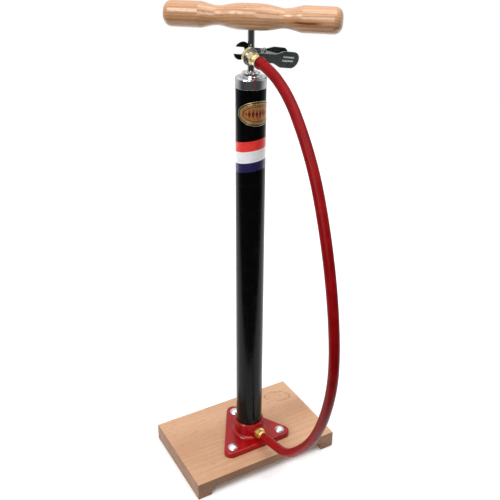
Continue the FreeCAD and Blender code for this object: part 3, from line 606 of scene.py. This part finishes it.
def make_badge():
    """A thin pressed oval: raised gold border, dark groove, gold line and a slightly domed field."""
    gold = metal("badge_gold", (232, 216, 166), 0.34, grain_scale=500, tarnish=(204, 180, 124))
    dark = rubber("badge_groove", (24, 20, 16), (38, 30, 22), 0.4)
    profile = [(1.0, 0.02, 0), (1.0, 0.30, 0), (0.985, 0.42, 0), (0.945, 0.42, 0),
               (0.93, 0.26, 1), (0.875, 0.24, 1),
               (0.865, 0.36, 0), (0.835, 0.36, 0), (0.825, 0.27, 2)]
    profile += [(0.80 - 0.04 * k, 0.28 + 0.004 * k, 2) for k in range(20)]
    steps = 128
    mesh = bmesh.new()
    made = []
    for share, out, _ in profile:
        inset = (1 - share) * BADGE_HALF_HEIGHT * 1.15
        wide, tall = BADGE_HALF_WIDTH - inset, BADGE_HALF_HEIGHT - inset
        if share <= 0.8:
            wide, tall = BADGE_HALF_WIDTH * share, BADGE_HALF_HEIGHT * share
        made.append([mesh.verts.new(badge_point(wide * math.cos(2 * math.pi * k / steps),
                                                tall * math.sin(2 * math.pi * k / steps), out / 1000))
                     for k in range(steps)])
    for row, (first, second) in enumerate(zip(made, made[1:])):
        for k in range(steps):
            after = (k + 1) % steps
            face = mesh.faces.new((first[k], first[after], second[after], second[k]))
            face.material_index = profile[row + 1][2]
    face = mesh.faces.new(made[-1])
    face.material_index = 2
    bmesh.ops.recalc_face_normals(mesh, faces=mesh.faces)
    return mesh_piece("oval_badge", mesh, [gold, dark, badge_face()])


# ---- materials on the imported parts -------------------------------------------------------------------
def dress(material, *nodes):
    for name in nodes:
        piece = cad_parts[name]
        if not piece.material_slots:
            piece.data.materials.append(material)
        for slot in piece.material_slots:
            slot.material = material


def dress_parts():
    dress(board_paint("board_beech", (0, 0, 0), (0, 0.10, -0.145), mark=True), "foot_board")
    dress(board_paint("batten_beech", (0, 0, math.radians(-90)), (0, 0.06, -0.05)),
          "batten_left", "batten_right")
    dress(handle_wood(), "handle")
    dress(red_enamel(), "base_casting")
    dress(black_enamel(), "barrel_tube")
    chrome = metal("chrome_polished", (240, 240, 244), 0.17, 0.05, (1, 1, 0.05), 500, 0.01)
    dress(chrome, "barrel_cap", "gland_nut")
    dress(metal("rod_chrome", (190, 190, 194), 0.14, 0.08, (1, 1, 0.02), 900, 0.05), "piston_rod")
    dress(lever_plate(), "nipple_lever")
    dress(metal("fork_plate", (62, 68, 66), 0.24, 0.10, (1, 1, 1), 900, 0.04), "fork_lever")
    dress(metal("zinc_plate", (232, 236, 242), 0.34, 0.10, (1, 1, 1), 420, 0.10, (196, 198, 200)),
          "casting_bolts", "bolt_washers", "bolt_nuts", "batten_screws")
    dress(metal("brass_turned", (255, 240, 196), 0.40, 0.10, (1, 1, 1), 520, 0.06, (244, 220, 158)),
          "hose_tail", "mouth_nut", "guide_bush")
    dress(metal("brass_yellow", (246, 214, 128), 0.28, 0.10, (1, 1, 1), 520, 0.06, (214, 176, 92)),
          "outlet_body", "outlet_tail")
    dress(nipple_brass(), "nipple_body")
    dress(metal("steel_bright", (186, 186, 188), 0.28, 0.10), "lever_pin", "handle_insert", "piston_nut",
          "piston_washer", "piston_plate", "piston_lock_nut", "valve_ball")
    dress(metal("spring_wire", (150, 148, 146), 0.30, 0.12), "lever_spring", "valve_spring")
    dress(rubber("black_rubber_satin", (22, 22, 22), (36, 35, 34), 0.55),
          "bottom_buffer", "top_buffer", "mouth_seal")
    dress(woven("red_fibre", (112, 46, 30), (146, 70, 46), 0.7), "base_gasket", "outlet_washer")
    dress(woven("grey_felt", (116, 112, 104), (152, 148, 138), 0.85), "rod_wiper")
    dress(woven("brown_leather", (84, 50, 28), (116, 74, 44), 0.6), "cup_seal")


# ---- floor and light ---------------------------------------------------------------------------------
def make_floor():
    mesh = bmesh.new()
    bmesh.ops.create_circle(mesh, cap_ends=True, segments=128, radius=FLOOR_RADIUS)
    data = bpy.data.meshes.new("floor")
    mesh.to_mesh(data)
    mesh.free()
    paint = Paint("floor_pale", Specular_IOR_Level=0.1, Roughness=0.8)
    cloud = paint.noise(0.6, detail=2)
    paint.set("Base Color", paint.mix(cloud, (0.86, 0.86, 0.87, 1), (0.88, 0.88, 0.88, 1)))
    data.materials.append(paint.material)
    floor = bpy.data.objects.new("floor", data)
    floor.location = (FLOOR_BACK * math.sin(CAMERA_YAW), FLOOR_BACK * math.cos(CAMERA_YAW), -0.0002)
    bpy.context.scene.collection.objects.link(floor)


def make_sun(name, azimuth, elevation, strength, size):
    """A far soft light; azimuth is where it stands, from -Y round towards +X."""
    lamp = bpy.data.lights.new(name, "SUN")
    lamp.energy = strength
    lamp.angle = math.radians(size)
    piece = bpy.data.objects.new(name, lamp)
    a, e = math.radians(azimuth), math.radians(elevation)
    towards = Vector((math.sin(a) * math.cos(e), -math.cos(a) * math.cos(e), math.sin(e)))
    piece.rotation_mode = "QUATERNION"
    piece.rotation_quaternion = towards.to_track_quat("Z", "Y")
    bpy.context.scene.collection.objects.link(piece)


def make_world():
    """A pale studio: bright overhead and behind, dim in front, as where a photographer stands.
    What the camera sees past the floor is plain white."""
    world = bpy.data.worlds.new("studio")
    world.use_nodes = True
    bpy.context.scene.world = world
    nodes, links = world.node_tree.nodes, world.node_tree.links
    nodes.clear()
    where = nodes.new("ShaderNodeTexCoord").outputs["Generated"]
    facing = nodes.new("ShaderNodeVectorMath")
    facing.operation = "DOT_PRODUCT"
    links.new(where, facing.inputs[0])
    facing.inputs[1].default_value = (-math.sin(CAMERA_YAW) * 0.94, -math.cos(CAMERA_YAW) * 0.94, -0.34)
    level = nodes.new("ShaderNodeMapRange")
    level.interpolation_type = "SMOOTHSTEP"
    for socket, value in zip(list(level.inputs)[1:5], (-0.50, 0.50, 1.0, WORLD_FRONT)):
        socket.default_value = value
    links.new(facing.outputs["Value"], level.inputs[0])
    height = nodes.new("ShaderNodeSeparateXYZ")
    links.new(where, height.inputs[0])
    overhead = nodes.new("ShaderNodeMapRange")
    overhead.interpolation_type = "SMOOTHSTEP"
    for socket, value in zip(list(overhead.inputs)[1:5], (0.0, 0.9, WORLD_HORIZON, WORLD_TOP)):
        socket.default_value = value
    links.new(height.outputs["Z"], overhead.inputs[0])
    both = nodes.new("ShaderNodeMath")
    both.operation = "MULTIPLY"
    links.new(level.outputs[0], both.inputs[0])
    links.new(overhead.outputs[0], both.inputs[1])
    soft = nodes.new("ShaderNodeBackground")
    links.new(both.outputs[0], soft.inputs["Strength"])
    plain = nodes.new("ShaderNodeBackground")
    plain.inputs["Strength"].default_value = 1.0
    plain.inputs["Color"].default_value = (1, 1, 1, 1)
    choose = nodes.new("ShaderNodeMixShader")
    links.new(nodes.new("ShaderNodeLightPath").outputs["Is Camera Ray"], choose.inputs[0])
    links.new(soft.outputs[0], choose.inputs[1])
    links.new(plain.outputs[0], choose.inputs[2])
    out = nodes.new("ShaderNodeOutputWorld")
    links.new(choose.outputs[0], out.inputs[0])


# ---- the whole scene -----------------------------------------------------------------------------------
make_camera()
red_rubber = hose_rubber()
make_hose(red_rubber)
make_hose_lip(red_rubber)
make_band()
make_badge()
dress_parts()
make_floor()
make_sun("key", *KEY_LAMP)
make_sun("top", *TOP_LAMP)
make_sun("fill", *FILL_LAMP)
make_world()
bpy.context.scene.view_settings.view_transform = "Standard"
